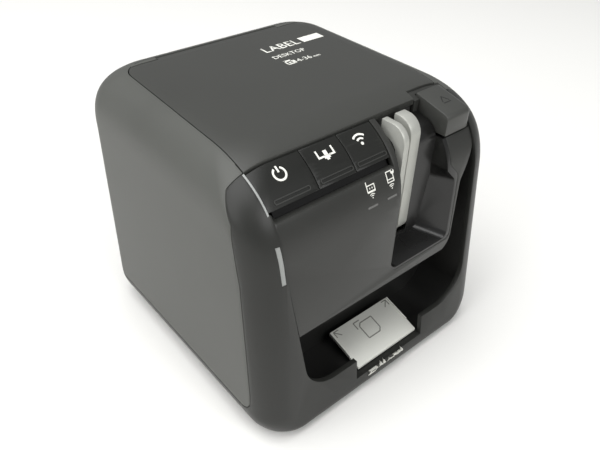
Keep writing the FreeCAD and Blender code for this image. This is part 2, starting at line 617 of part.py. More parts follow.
def tub_prism(label, grow, start):
    prism = flat_body(label, "XZ_Plane", tub_outline(grow), start, "body_depth")
    low = f"recess_floor - {grow}"
    rounded(prism, f"opening_left_radius + {grow}", lambda edge: along_y(edge)
            and edge.BoundBox.XMax < 0 and edge.BoundBox.ZMax < size(low) + 1)
    return rounded(prism, f"opening_right_radius + {grow}", lambda edge: along_y(edge)
                   and edge.BoundBox.XMax > 0 and edge.BoundBox.ZMax < size(low) + 1)


frame_inside = shaped("frame_inside", hull(size("wall + running_gap")))
tub_air = tub_prism("tub_air", "0", "recess_back")
tub_block = overlap("tub_block", tub_prism("tub_block_zone", "tub_wall", "recess_back - tub_wall"), frame_inside)
tape_way = block("tape_way", ("niche_left_foot - niche_wall", "-body_depth", "niche_floor - niche_wall"),
                 ("niche_right_wide + niche_wall", "0", FAR))
recess_tub = less("recess_tub", tub_block, tub_air, tape_way)

tray_top = [("-tray_back", "tray_back_level"), ("-tray_fold", "tray_fold_level"),
            ("-tray_front", "tray_front_level")]
tray_under = [(y, f"{z} - tray_thickness") for y, z in reversed(tray_top)]
tape_tray = flat_body("tape_tray", "YZ_Plane", tray_top + tray_under, "-tray_left", "tray_left + tray_right")
tray_runners = joined("tray_runners", *[
    block("tray_runner_" + side, (start, "-tray_fold + runner_width", "recess_floor"),
          (f"{start} + runner_width", "-tray_back", "tray_fold_level - tray_thickness - runner_gap"))
    for side, start in (("left", "-tray_left + runner_inset"),
                        ("right", "tray_right - runner_inset - runner_width"))])

# ---------------------------------------------------------------- cartridge bay
bay_outside = block("bay_outside", ("-bay_half_width - bay_wall", "-bay_front - bay_wall", "bay_floor - bay_wall"),
                    ("bay_half_width + bay_wall", "bay_back + bay_wall", "bay_top"))
bay_air = block("bay_air", ("-bay_half_width", "-bay_front", "bay_floor"), ("bay_half_width", "bay_back", FAR))
tape_mouth = block("tape_mouth", ("tape_plane - slot_width / 2", "-body_depth", "slot_foot"),
                   ("tape_plane + slot_width / 2", "-bay_front + 1", "slot_top"))
PITCH = "gear_module / 2"
motor_x = f"platen_x - {PITCH} * (platen_teeth + motor_teeth) - mesh_gap"
ribbon_y = f"platen_y + {PITCH} * (platen_teeth + ribbon_teeth) + mesh_gap"
shaft_hole = rod("shaft_hole", ("platen_x", "platen_y", "gear_level"),
                 "platen_shaft_radius + running_gap", "bay_floor")
ribbon_hole = rod("ribbon_hole", ("platen_x", ribbon_y, "gear_level"),
                  "ribbon_shaft_radius + running_gap", "bay_floor")
bay_corner = block("bay_corner", ("lid_half_width - lid_notch_width - 1", f"-{FAR}", "tub_top - 1"),
                   (FAR, "-lid_front + lid_notch_depth + seam", FAR))
cartridge_bay = less("cartridge_bay", bay_outside, bay_air, bay_corner, tape_mouth, shaft_hole, ribbon_hole)


# ---------------------------------------------------------------- feed train
def gear(label, teeth, bore, place, turned):
    """An involute spur gear on an upright axis; turned, in degrees, sets where a tooth points."""
    outline = fcgear.FCWireBuilder()
    involute.CreateExternalGear(outline, size("gear_module"), int(size(teeth)), 20, True)
    wheel = Part.Face(Part.Wire([piece.toShape() for piece in outline.wire]))
    wheel = wheel.extrude(FreeCAD.Vector(0, 0, size("gear_thickness")))
    wheel = wheel.cut(Part.makeCylinder(size(bore), size("gear_thickness")))
    item = shaped(label, wheel)
    item.Placement = FreeCAD.Placement(FreeCAD.Vector(*[size(letter) for letter in place]),
                                       FreeCAD.Rotation(FreeCAD.Vector(0, 0, 1), turned))
    return item


platen_shaft = rod("platen_shaft", ("platen_x", "platen_y", "gear_level - shaft_foot"), "platen_shaft_radius",
                   "roller_bottom + roller_length - gear_level + shaft_foot + shaft_head")
platen_roller = less("platen_roller",
                     rod("platen_sleeve", ("platen_x", "platen_y", "roller_bottom"), "platen_radius",
                         "roller_length"),
                     rod("platen_core", ("platen_x", "platen_y", "roller_bottom - 1"), "platen_shaft_radius",
                         "roller_length + 2"))
platen_gear = gear("platen_gear", "platen_teeth", "platen_shaft_radius",
                   ("platen_x", "platen_y", "gear_level"), 0)
motor_pinion = gear("motor_pinion", "motor_teeth", "motor_shaft_radius",
                    (motor_x, "platen_y", "gear_level"), 180 / size("motor_teeth"))
motor_shaft = rod("motor_shaft", (motor_x, "platen_y", "gear_level - motor_clear"), "motor_shaft_radius",
                  "gear_thickness + motor_clear")
drive_motor = rod("drive_motor", (motor_x, "platen_y", "gear_level - motor_clear - seam - motor_length"),
                  "motor_radius", "motor_length")
ribbon_gear = gear("ribbon_gear", "ribbon_teeth", "ribbon_shaft_radius",
                   ("platen_x", ribbon_y, "gear_level"), 90 + 180 / size("ribbon_teeth"))
ribbon_spindle = joined("ribbon_spindle",
                        rod("ribbon_shaft", ("platen_x", ribbon_y, "gear_level"), "ribbon_shaft_radius",
                            "bay_floor - gear_level + 1"),
                        rod("ribbon_post", ("platen_x", ribbon_y, "bay_floor + seam"), "ribbon_spindle_radius",
                            "post_height"))
tape_core_post = rod("tape_core_post", ("-post_x", "post_y", "bay_floor"), "core_post_radius", "post_height")

# ---------------------------------------------------------------- print head
head_face = "tape_plane + head_gap"
head_top = "roller_bottom + roller_length"
head_back = f"{head_face} + head_thickness"
plate_back = f"{head_back} + plate_thickness"
print_head = block("print_head", (head_face, "platen_y - head_half", "roller_bottom"),
                   (head_back, "platen_y + head_half", head_top))
head_plate = block("head_plate", (head_back, "platen_y - head_half", "roller_bottom"),
                   (plate_back, "platen_y + plate_reach", head_top))
head_fins = [block(f"head_fin_{n}", (plate_back, f"platen_y - head_half + {n} * fin_pitch", "roller_bottom"),
                   (f"{plate_back} + fin_depth",
                    f"platen_y - head_half + fin_thickness + {n} * fin_pitch", head_top))
             for n in range(5)]
head_heatsink = joined("head_heatsink", head_plate, *head_fins)
head_pivot = rod("head_pivot", ("head_pivot_x", "head_pivot_y", "bay_floor"), "head_pivot_radius",
                 "roller_length + pivot_spare")
head_bore = rod("head_bore", ("head_pivot_x", "head_pivot_y", "bay_floor"),
                "head_pivot_radius + running_gap", "bay_floor")
lever_bar = block("head_lever_bar", (plate_back, "platen_y + plate_reach + lever_gap", "roller_bottom"),
                  ("head_pivot_x + lever_spare", "head_pivot_y + lever_spare", head_top))
head_lever = less("head_lever", lever_bar, head_bore)

# ---------------------------------------------------------------- cutter
fixed_blade = block("fixed_blade",
                    ("tape_plane + cutter_clear", "blade_y - blade_thickness", "slot_foot - blade_foot"),
                    ("tape_plane + blade_width", "blade_y", "slot_top + cutter_clear"))
blade_edge = "tape_plane - slot_width / 2"
blade_back = f"{blade_edge} - blade_width"
blade_face = "blade_y + fit_gap / 2"
carrier_top = "bay_floor - bay_wall - seam"
carrier_foot = f"{carrier_top} - carrier_height"
moving_blade = block("moving_blade", (blade_back, blade_face, carrier_foot),
                     (blade_edge, f"{blade_face} + blade_thickness", "slot_top + cutter_clear"))
carrier_bar = block("blade_carrier_bar", (blade_back, f"{blade_face} + blade_thickness", carrier_foot),
                    (f"{blade_back} + carrier_width", "blade_y + carrier_depth", carrier_top))
screw_start = (f"{blade_edge} - spindle_reach", "blade_y + spindle_set", f"{carrier_top} - carrier_height / 2")
carrier_bore = rod("carrier_bore", screw_start, "cutter_screw_radius + running_gap", "spindle_length", "X")
blade_carrier = less("blade_carrier", carrier_bar, carrier_bore)
cutter_screw = rod("cutter_screw", screw_start, "cutter_screw_radius", "spindle_length", "X")

# ---------------------------------------------------------------- power, boards and sockets
battery_box = less("battery_box",
                   block("battery_shell", ("-door_half_width", "battery_front", "base_split"),
                         ("door_half_width", "body_depth / 2 - wall - battery_clear", "door_top")),
                   block("battery_air", ("-door_half_width + tub_wall", "battery_front + tub_wall", "door_bottom"),
                         ("door_half_width - tub_wall", FAR, "door_top - tub_wall")))
contact_start = "-door_half_width + tub_wall + contact_margin"
contact_back = "battery_front + tub_wall"
battery_contacts = joined("battery_contacts", *[
    block(f"contact_{n}", (f"{contact_start} + {n} * contact_pitch", contact_back, "door_bottom + contact_foot"),
          (f"{contact_start} + contact_width + {n} * contact_pitch", f"{contact_back} + contact_thickness",
           "door_top - contact_head"))
    for n in range(6)])
door_zone = block("door_zone", ("-door_half_width + seam", "0", "door_pin_z"),
                  ("door_half_width - seam", FAR, "door_top - seam"))
door_plate = overlap("door_plate", skin, door_zone)
door_barrel = rod("door_barrel", ("-door_half_width + seam", "door_pin_y", "door_pin_z"), "door_barrel_radius",
                  "2 * door_half_width - 2 * seam", "X")
pin_start = "-door_half_width - door_pin_hold"
door_pin_bore = rod("door_pin_bore", (pin_start, "door_pin_y", "door_pin_z"), "door_pin_radius", "body_width", "X")
battery_cover = less("battery_cover", joined("door_solid", door_plate, door_barrel), door_pin_bore)
battery_cover_pin = rod("battery_cover_pin", (f"{pin_start} + fit_gap", "door_pin_y", "door_pin_z"),
                        "door_pin_radius", "2 * door_half_width + 2 * door_pin_hold - 2 * fit_gap", "X")

main_board = block("main_board", ("-board_half_width", "-board_front", "board_level"),
                   ("board_half_width", "battery_front - tub_wall", "board_level + board_thickness"))
# Each chip: left edge, front edge, side and height.
CHIPS = [(-30, -16, 14, 1.6), (-8, -6, 10, 1.4), (14, -20, 8, 2.2), (30, -8, 9, 3)]
board_chips = joined("board_chips", *[
    block(f"chip_{n}", (f"{x}", f"{y}", "board_level + board_thickness"),
          (f"{x} + {wide}", f"{y} + {wide}", f"board_level + board_thickness + {tall}"))
    for n, (x, y, wide, tall) in enumerate(CHIPS)])
wireless_module = block("wireless_module", ("-module_left", "-module_front", "board_level + board_thickness"),
                        ("-module_left + module_width", "-module_front + module_depth",
                         "board_level + board_thickness + module_height"))
# Each socket: distance along the port, width and height.
SOCKETS = {"dc_socket": (0, 9, 11), "usb_socket": (14, 12, 11), "network_socket": (31, 16, 13)}
for name, (along, wide, tall) in SOCKETS.items():
    start = f"port_left + port_margin + {along}"
    low = (start, "bay_back + bay_wall + seam", "port_bottom + port_sill")
    high = (f"{start} + {wide}", "body_depth / 2 - wall - socket_set", f"port_bottom + port_sill + {tall}")
    hollow_low = tuple(f"{corner} + socket_wall" for corner in low)
    hollow_high = (f"{high[0]} - socket_wall", FAR, f"{high[2]} - socket_wall")
    less(name, block(name + "_shell", low, high), block(name + "_air", hollow_low, hollow_high))

# ---------------------------------------------------------------- feet and screws
feet_sites = [(x, y) for x in ("-body_width / 2 + foot_inset", "body_width / 2 - foot_inset")
              for y in ("-body_depth / 2 + foot_inset", "body_depth / 2 - foot_inset")]
rubber_feet = joined("rubber_feet", *[rod(f"foot_{n}", (x, y, "0"), "foot_radius", "foot_drop")
                                      for n, (x, y) in enumerate(feet_sites)])
screw_sites = [(x, y) for x in ("-body_width / 2 + 2 * foot_inset", "body_width / 2 - 2 * foot_inset")
               for y in ("-body_depth / 2 + 1.5 * foot_inset", "body_depth / 2 - foot_inset")]
case_screws = joined("case_screws", *[rod(f"screw_{n}", (x, y, "foot_drop + wall"), "screw_radius", "screw_length")
                                      for n, (x, y) in enumerate(screw_sites)])

# ---------------------------------------------------------------- check and write
NODES = """main_shell front_frame base_cover top_lid lid_hinge_pin lid_hinge_ears front_panel exit_niche
    exit_guide_left exit_guide_right light_strip_upper light_strip_lower power_button feed_cut_button
    wireless_button key_bezel key_board tact_switches open_button recess_tub tape_tray tray_runners
    cartridge_bay platen_shaft platen_roller platen_gear motor_pinion motor_shaft drive_motor ribbon_gear
    ribbon_spindle tape_core_post print_head head_heatsink head_pivot head_lever fixed_blade moving_blade
    blade_carrier cutter_screw battery_box battery_contacts battery_cover battery_cover_pin main_board
    board_chips wireless_module dc_socket usb_socket network_socket rubber_feet case_screws""".split()

doc.recompute()
by_label = {item.Label: item for item in doc.Objects}
failed = [item.Label for item in doc.Objects if {"Invalid", "Error"} & set(item.State)]
for node in NODES:
    shape = by_label[node].Shape
    if shape.isNull() or not shape.isValid() or not shape.Solids:
        failed.append(node)
if failed:
    raise RuntimeError("these did not build: " + ", ".join(sorted(set(failed))))
for node in NODES:
    shape = by_label[node].Shape
    shape.exportStep(f"parts/{node}.step")
    box = shape.BoundBox
    print(f"{node:20} {len(shape.Solids)} {shape.Volume:9.0f}"
          f"  x {box.XMin:6.1f} {box.XMax:6.1f}  y {box.YMin:6.1f} {box.YMax:6.1f}"
          f"  z {box.ZMin:6.1f} {box.ZMax:6.1f}")
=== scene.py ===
import bpy
import json
import math
from mathutils import Matrix, Vector


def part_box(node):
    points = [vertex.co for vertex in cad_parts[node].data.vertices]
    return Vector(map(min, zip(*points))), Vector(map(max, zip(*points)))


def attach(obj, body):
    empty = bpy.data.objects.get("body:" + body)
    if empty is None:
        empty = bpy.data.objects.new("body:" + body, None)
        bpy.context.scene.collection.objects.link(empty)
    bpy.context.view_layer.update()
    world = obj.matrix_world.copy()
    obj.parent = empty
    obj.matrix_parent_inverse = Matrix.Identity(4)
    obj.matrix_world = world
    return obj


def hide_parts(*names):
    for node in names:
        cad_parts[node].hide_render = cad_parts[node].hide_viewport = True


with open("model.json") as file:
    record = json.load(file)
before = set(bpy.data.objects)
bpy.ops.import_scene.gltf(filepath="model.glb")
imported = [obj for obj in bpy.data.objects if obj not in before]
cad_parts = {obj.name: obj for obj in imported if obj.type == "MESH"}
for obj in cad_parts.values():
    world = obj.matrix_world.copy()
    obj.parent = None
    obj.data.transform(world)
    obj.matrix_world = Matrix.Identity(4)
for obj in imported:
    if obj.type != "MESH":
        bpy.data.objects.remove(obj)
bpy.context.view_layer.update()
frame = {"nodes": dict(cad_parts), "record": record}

MM = 0.001

# ------------------------------------------------------------------ studio
# A pale sweep of floor under soft light: one wide lamp overhead and behind the left shoulder, one low fill,
# and a bright even sky, so that dark satin plastic shows its form. The camera looks down on the left front.
TURN, RISE, TILT = math.radians(-41.25), math.radians(37.67), math.radians(1.81)
backwards = Vector((math.sin(TURN) * math.cos(RISE), -math.cos(TURN) * math.cos(RISE), math.sin(RISE)))
sideways = (-backwards).cross(Vector((0, 0, 1))).normalized()
upwards = sideways.cross(-backwards)
across = math.cos(TILT) * sideways + math.sin(TILT) * upwards
along = -math.sin(TILT) * sideways + math.cos(TILT) * upwards
lens = bpy.data.cameras.new("studio_camera")
lens.lens = 36.83
lens.sensor_width = 36
lens.clip_start = 0.01
camera = bpy.data.objects.new("studio_camera", lens)
bpy.context.scene.collection.objects.link(camera)
camera.matrix_world = Matrix.Translation((-0.1666, -0.1949, 0.2506)) @ Matrix(
    (across, along, backwards)).transposed().to_4x4()
bpy.context.scene.camera = camera
bpy.context.scene.view_settings.view_transform = "Standard"

bpy.ops.mesh.primitive_plane_add(size=6, location=(0, 0, 0))
floor = bpy.context.object
floor.name = "floor"
paper = bpy.data.materials.new("floor_paper")
paper.use_nodes = True
paper_shader = paper.node_tree.nodes["Principled BSDF"]
paper_shader.inputs["Base Color"].default_value = (0.87, 0.865, 0.84, 1)
paper_shader.inputs["Roughness"].default_value = 0.9
floor.data.materials.append(paper)

sky = bpy.data.worlds.new("studio_sky")
bpy.context.scene.world = sky
sky.use_nodes = True
sky.node_tree.nodes["Background"].inputs["Color"].default_value = (0.98, 0.99, 1, 1)
sky.node_tree.nodes["Background"].inputs["Strength"].default_value = 0.36


def lamp(name, place, target, width, power):
    """One square soft lamp that faces its target."""
    light = bpy.data.lights.new(name, "AREA")
    light.size = width
    light.energy = power
    item = bpy.data.objects.new(name, light)
    bpy.context.scene.collection.objects.link(item)
    item.location = place
    item.rotation_euler = (Vector(target) - Vector(place)).to_track_quat("-Z", "Y").to_euler()


lamp("overhead", (-0.35, 0.15, 1.4), (0, 0, 0.06), 1.3, 19)
lamp("left_fill", (-1.3, 0.1, 0.8), (0, 0, 0.06), 1.0, 8)
lamp("front_fill", (0.1, -1.2, 1.0), (0, 0, 0.04), 0.7, 8)

# ------------------------------------------------------------------ side cover
# The large wrap-round cover of the sides and back: one moulding in dark grey ABS with a fine spark-eroded
# grain, screwed to the base from below. Its rims are rounded over where they meet the frame and the lid.


def grain_group():
    """Fine spark grain and a faint cloudiness, for every moulded plastic."""
    group = bpy.data.node_groups.new("moulded_grain", "ShaderNodeTree")
    for name, default in (("Grain Size", 3000.0), ("Cloud Size", 30.0)):
        socket = group.interface.new_socket(name, in_out="INPUT", socket_type="NodeSocketFloat")
        socket.default_value = default
    group.interface.new_socket("Height", in_out="OUTPUT", socket_type="NodeSocketFloat")
    group.interface.new_socket("Cloud", in_out="OUTPUT", socket_type="NodeSocketFloat")
    nodes, links = group.nodes, group.links
    start, end = nodes.new("NodeGroupInput"), nodes.new("NodeGroupOutput")
    place = nodes.new("ShaderNodeTexCoord")
    for output, size_input, detail in (("Height", "Grain Size", 2.0), ("Cloud", "Cloud Size", 4.0)):
        noise = nodes.new("ShaderNodeTexNoise")
        noise.inputs["Detail"].default_value = detail
        links.new(place.outputs["Object"], noise.inputs["Vector"])
        links.new(start.outputs[size_input], noise.inputs["Scale"])
        links.new(noise.outputs["Fac"], end.inputs[output])
    return group


moulded_grain = grain_group()


def moulded_plastic(name, colour, roughness, depth=0.00002, shift=0.12, metallic=0.0, gloss=0.5):
    """Moulded plastic: the grain lifts the surface by depth and clouds its colour and sheen a little."""
    material = bpy.data.materials.new(name)
    material.use_nodes = True
    nodes, links = material.node_tree.nodes, material.node_tree.links
    shader = nodes["Principled BSDF"]
    shader.inputs["Metallic"].default_value = metallic
    shader.inputs["Specular IOR Level"].default_value = gloss
    texture = nodes.new("ShaderNodeGroup")
    texture.node_tree = moulded_grain
    tone = nodes.new("ShaderNodeMix")
    tone.data_type = "RGBA"
    tone.inputs["A"].default_value = [part * (1 - shift) for part in colour] + [1]
    tone.inputs["B"].default_value = [part * (1 + shift) for part in colour] + [1]
    links.new(texture.outputs["Cloud"], tone.inputs["Factor"])
    links.new(tone.outputs["Result"], shader.inputs["Base Color"])
    sheen = nodes.new("ShaderNodeMapRange")
    sheen.inputs["To Min"].default_value = roughness * 0.9
    sheen.inputs["To Max"].default_value = roughness * 1.1
    links.new(texture.outputs["Cloud"], sheen.inputs["Value"])
    links.new(sheen.outputs["Result"], shader.inputs["Roughness"])
    bump = nodes.new("ShaderNodeBump")
    bump.inputs["Distance"].default_value = depth
    links.new(texture.outputs["Height"], bump.inputs["Height"])
    links.new(bump.outputs["Normal"], shader.inputs["Normal"])
    return material


def only(piece):
    """Makes one piece the whole selection."""
    bpy.ops.object.select_all(action="DESELECT")
    piece.select_set(True)
    bpy.context.view_layer.objects.active = piece


BODY_OF = {node: body for body, nodes in frame["record"]["behaviour"]["bodies"].items() for node in nodes}


def moulding(node, rim, material, angle=30):
    """A finished moulding on a node's form: merged, rims rounded over by rim millimetres, then smoothed."""
    piece = bpy.data.objects.new(node + "_moulding", frame["nodes"][node].data.copy())
    bpy.context.scene.collection.objects.link(piece)
    only(piece)
    bpy.ops.object.mode_set(mode="EDIT")
    bpy.ops.mesh.select_all(action="SELECT")
    bpy.ops.mesh.customdata_custom_splitnormals_clear()
    bpy.ops.mesh.remove_doubles(threshold=0.000002)
    bpy.ops.mesh.dissolve_limited(angle_limit=math.radians(0.3))
    bpy.ops.object.mode_set(mode="OBJECT")
    if rim:
        rounding = piece.modifiers.new("rim", "BEVEL")
        rounding.width = rim * MM
        rounding.segments = 2
        rounding.angle_limit = math.radians(angle)
        rounding.use_clamp_overlap = True
        bpy.ops.object.modifier_apply(modifier="rim")
    bpy.ops.object.shade_smooth_by_angle(angle=math.radians(angle))
    piece.data.materials.clear()
    piece.data.materials.append(material)
    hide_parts(node)
    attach(piece, BODY_OF[node])
    return piece


def dressed(node, material):
    """Gives a node that keeps its own mesh its finish."""
    slots = frame["nodes"][node].material_slots
    for place in slots:
        place.material = material


side_plastic = moulded_plastic("side_plastic", (0.078, 0.08, 0.073), 0.5, gloss=0.4)
for node in ("main_shell", "battery_cover", "lid_hinge_ears"):
    moulding(node, 0.25, side_plastic)

# ------------------------------------------------------------------ front frame and base
# The frame wraps the mouth of the tray recess and runs up both sides of the panel: ABS with a smoother,
# darker satin than the sides. The base cover below it is the same plastic and carries the feet and screws.
frame_plastic = moulded_plastic("frame_plastic", (0.02, 0.0205, 0.0185), 0.38, shift=0.08, gloss=0.32)
for node in ("front_frame", "base_cover"):
    moulding(node, 0.25, frame_plastic)


def painted(name, colour, roughness, metallic=0.0):
    """A plain even finish, for small pieces and for prints."""
    material = bpy.data.materials.new(name)
    material.use_nodes = True
    shader = material.node_tree.nodes["Principled BSDF"]
    shader.inputs["Base Color"].default_value = (*colour, 1)
    shader.inputs["Roughness"].default_value = roughness
    shader.inputs["Metallic"].default_value = metallic
    return material


def bar(start, end, width):
    """One straight stroke of a print, drawn flat, in millimetres."""
    run, middle = Vector(end) - Vector(start), (Vector(start) + Vector(end)) / 2
    bpy.ops.mesh.primitive_plane_add(size=1, location=(middle.x, middle.y, 0),
                                     rotation=(0, 0, math.atan2(run.y, run.x)))
    bpy.context.object.scale = (run.length, width, 1)
    return bpy.context.object


def strokes(*rows):
    """Straight strokes of a print: each row is the two ends and the width."""
    return [bar((x, y), (end_x, end_y), width) for x, y, end_x, end_y, width in rows]


def arc(centre, radius, width, start, sweep):
    """One curved stroke: the lower edge of a small square, spun about the arc's centre."""
    bpy.ops.mesh.primitive_plane_add(size=width, location=(radius, width / 2, 0))
    piece = bpy.context.object
    bpy.ops.object.transform_apply(location=True, rotation=True, scale=True)
    bpy.ops.object.mode_set(mode="EDIT")
    bpy.ops.mesh.select_mode(type="VERT")
    bpy.ops.mesh.select_all(action="DESELECT")
    bpy.ops.object.mode_set(mode="OBJECT")
    for corner in piece.data.vertices:
        corner.select = corner.co.y > width / 2
    bpy.ops.object.mode_set(mode="EDIT")
    bpy.ops.mesh.delete(type="VERT")
    bpy.ops.mesh.select_all(action="SELECT")
    bpy.ops.mesh.spin(steps=28, angle=-math.radians(sweep), center=(0, 0, 0), axis=(0, 0, 1))
    bpy.ops.object.mode_set(mode="OBJECT")
    piece.rotation_euler.z = math.radians(start)
    piece.location = (*centre, 0)
    return piece


def disc(centre, radius):
    bpy.ops.mesh.primitive_circle_add(vertices=24, radius=radius, fill_type="NGON", location=(*centre, 0))
    return bpy.context.object


def words(text, corner, height, bold=0.02):
    """A line of plain sans lettering, its lower left corner at corner, thickened by bold."""
    bpy.ops.object.text_add(location=(*corner, 0))
    line = bpy.context.object
    line.data.body = text
    line.data.size = height * 1.4
    line.data.offset = bold
    line.data.resolution_u = 3
    bpy.ops.object.convert(target="MESH")
    return bpy.context.object


def printed(name, marks, place, lean, surface, material, body, proud=0.05, cuts=0, turn=0):
    """Joins marks, leans them to a surface at place, lays them on it and thickens them to a film."""
    bpy.ops.object.select_all(action="DESELECT")
    for mark in marks:
        mark.select_set(True)
    bpy.context.view_layer.objects.active = marks[0]
    bpy.ops.object.transform_apply(location=True, rotation=True, scale=True)
    if len(marks) > 1:
        bpy.ops.object.join()
    piece = bpy.context.object
    piece.name = name
    only(piece)
    bpy.ops.object.mode_set(mode="EDIT")
    bpy.ops.mesh.select_all(action="SELECT")
    bpy.ops.mesh.remove_doubles(threshold=0.001)
    if cuts:
        bpy.ops.mesh.subdivide(number_cuts=cuts)
    bpy.ops.mesh.normals_make_consistent(inside=False)
    bpy.ops.object.mode_set(mode="OBJECT")
    if sum(face.normal.z * face.area for face in piece.data.polygons) < 0:
        piece.data.flip_normals()
    piece.scale = (MM, MM, MM)
    bpy.ops.object.transform_apply(location=False, rotation=False, scale=True)
    standoff, sunk = 2, 0.05
    tilt, heading = math.radians(lean), math.radians(turn)
    above = standoff * Vector((math.sin(tilt) * math.sin(heading), -math.sin(tilt) * math.cos(heading),
                               math.cos(tilt)))
    piece.location = (Vector(place) + above) * MM
    piece.rotation_euler = (tilt, 0, heading)
    bpy.context.view_layer.update()
    laid = piece.modifiers.new("laid", "SHRINKWRAP")
    laid.wrap_method = "PROJECT"
    laid.use_project_z = True
    laid.use_positive_direction = False
    laid.use_negative_direction = True
    laid.target = surface
    laid.offset = proud * MM
    bpy.ops.object.modifier_apply(modifier="laid")
    film = piece.modifiers.new("film", "SOLIDIFY")
    film.thickness = (proud + sunk) * MM
    film.offset = -1
    bpy.ops.object.modifier_apply(modifier="film")
    bpy.ops.object.transform_apply(location=True, rotation=True, scale=True)
    piece.data.materials.clear()
    piece.data.materials.append(material)
    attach(piece, body)
    return piece


print_white = painted("print_white", (0.8, 0.8, 0.74), 0.5)
frame_piece = bpy.data.objects["front_frame_moulding"]
LIP_LEAN = 90 - math.degrees(math.atan(13.9 / 133))
square = strokes((0, 0.3, 0, 4.3, 0.7), (-0.35, 4, 4.6, 4, 0.7), (4.25, 4.3, 4.25, 0.3, 0.7),
                 (4.6, 0.6, -0.35, 0.6, 0.7))
printed("frame_print", square + [words("PRINTER", (6.6, 0.9), 3.3)],
        (-10.6, -72, 7.4), LIP_LEAN, frame_piece, print_white, "case")

# ------------------------------------------------------------------ battery door and sockets
# The battery door is the side cover's plastic, pulled open by three raised ribs over an arrow. The sockets
# stand in a sunk black plate: a power pin, a data socket's tongue and eight plated network contacts.


def brick(name, low, high, material, body, soften=0.12, lean=0.0):
    """A small moulded block between two corners, in millimetres, leaned about X, its edges softened."""
    low, high = Vector(low), Vector(high)
    bpy.ops.object.select_all(action="DESELECT")
    bpy.ops.mesh.primitive_cube_add(size=1)
    piece = bpy.context.object
    piece.name = name
    piece.scale = (high - low) * MM
    piece.rotation_euler.x = lean
    piece.location = (low + high) / 2 * MM
    bpy.ops.object.transform_apply(location=True, rotation=True, scale=True)
    if soften:
        edge = piece.modifiers.new("soften", "BEVEL")
        edge.width = soften * MM
        edge.segments = 2
        bpy.ops.object.modifier_apply(modifier="soften")
    piece.data.materials.append(material)
    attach(piece, body)
    return piece


door_piece = bpy.data.objects["battery_cover_moulding"]
shell_piece = bpy.data.objects["main_shell_moulding"]
door_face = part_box("battery_cover")[1].y / MM
rib_reach, rib_foot, rib_pitch, rib_height, rib_root, rib_proud = 10, 50.6, 2, 0.8, 0.5, 0.6
for n in range(3):
    level = rib_foot + rib_pitch * n
    brick(f"door_rib_{n}", (-rib_reach, door_face - rib_root, level),
          (rib_reach, door_face + rib_proud, level + rib_height), side_plastic,
          "battery_door", soften=0.3)
# Near-black finish for the printed arrow on the door; the same finish is painted shade in the screw heads'
# cross slots below.
dark_print_and_slot_shade = painted("dark_print_and_slot_shade", (0.01, 0.01, 0.01), 0.6)
printed("door_arrow", strokes((-2.4, 2.4, 0, 0, 0.6), (0, 0, 2.4, 2.4, 0.6)), (0, door_face, 45), 90,
        door_piece, dark_print_and_slot_shade, "battery_door", turn=180)
port_black = moulded_plastic("port_black", (0.01, 0.01, 0.01), 0.45)
plate_low, plate_high = (-30.3, 66.2, 63.7), (24.3, 67.4, 82.3)
plate = brick("port_plate", plate_low, plate_high, port_black, "case", soften=0)
for node in ("dc_socket", "usb_socket", "network_socket"):
    low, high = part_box(node)
    bpy.ops.object.select_all(action="DESELECT")
    bpy.ops.mesh.primitive_cube_add(size=1, location=(low + high) / 2, scale=high - low)
    hole = bpy.context.object
    only(plate)
    cut = plate.modifiers.new("cut", "BOOLEAN")
    cut.operation = "DIFFERENCE"
    cut.object = hole
    bpy.ops.object.modifier_apply(modifier="cut")
    bpy.data.objects.remove(hole)
plated = painted("plated", (0.75, 0.6, 0.3), 0.25, 1.0)
contact_start, contact_pitch, contact_width = 8.1, 1.02, 0.45
for n in range(8):
    start = contact_start + contact_pitch * n
    brick(f"network_contact_{n}", (start, 60.4, 76.6), (start + contact_width, 66, 77.6), plated,
          "case", soften=0.05)
brick("data_tongue", (-9.6, 60.2, 71.6), (-4.4, 66.6, 74.2), port_black, "case")
brick("power_pin", (-23.4, 60.2, 70.6), (-21.6, 66.4, 72.4), plated, "case", soften=0.8)
power_port = [disc((0, 0), 0.7), arc((0, 0), 1.7, 0.4, -60, 300)]
data_port = strokes((-2, -0.6, -2, 1.8, 0.4), (-2.2, 1.8, 2.2, 1.8, 0.4), (2, 1.8, 2, -0.6, 0.4),
                    (2.2, -0.6, -2.2, -0.6, 0.4), (-1.2, -1.6, 1.2, -1.6, 0.4))
network_port = strokes((-0.7, 1.4, 0.7, 1.4, 1.2), (-2.4, -1.4, -1, -1.4, 1.2), (1, -1.4, 2.4, -1.4, 1.2),
                       (0, 1.4, 0, 0, 0.4), (-1.7, 0, 1.7, 0, 0.4), (-1.7, 0.1, -1.7, -1.4, 0.4),
                       (1.7, 0.1, 1.7, -1.4, 0.4))
for name, sign, across in (("power", power_port, -22.5), ("data", data_port, -7),
                           ("network", network_port, 12)):
    printed(name + "_port_sign", sign, (across, door_face, 86.4), 90, shell_piece, print_white,
            "case", turn=180)

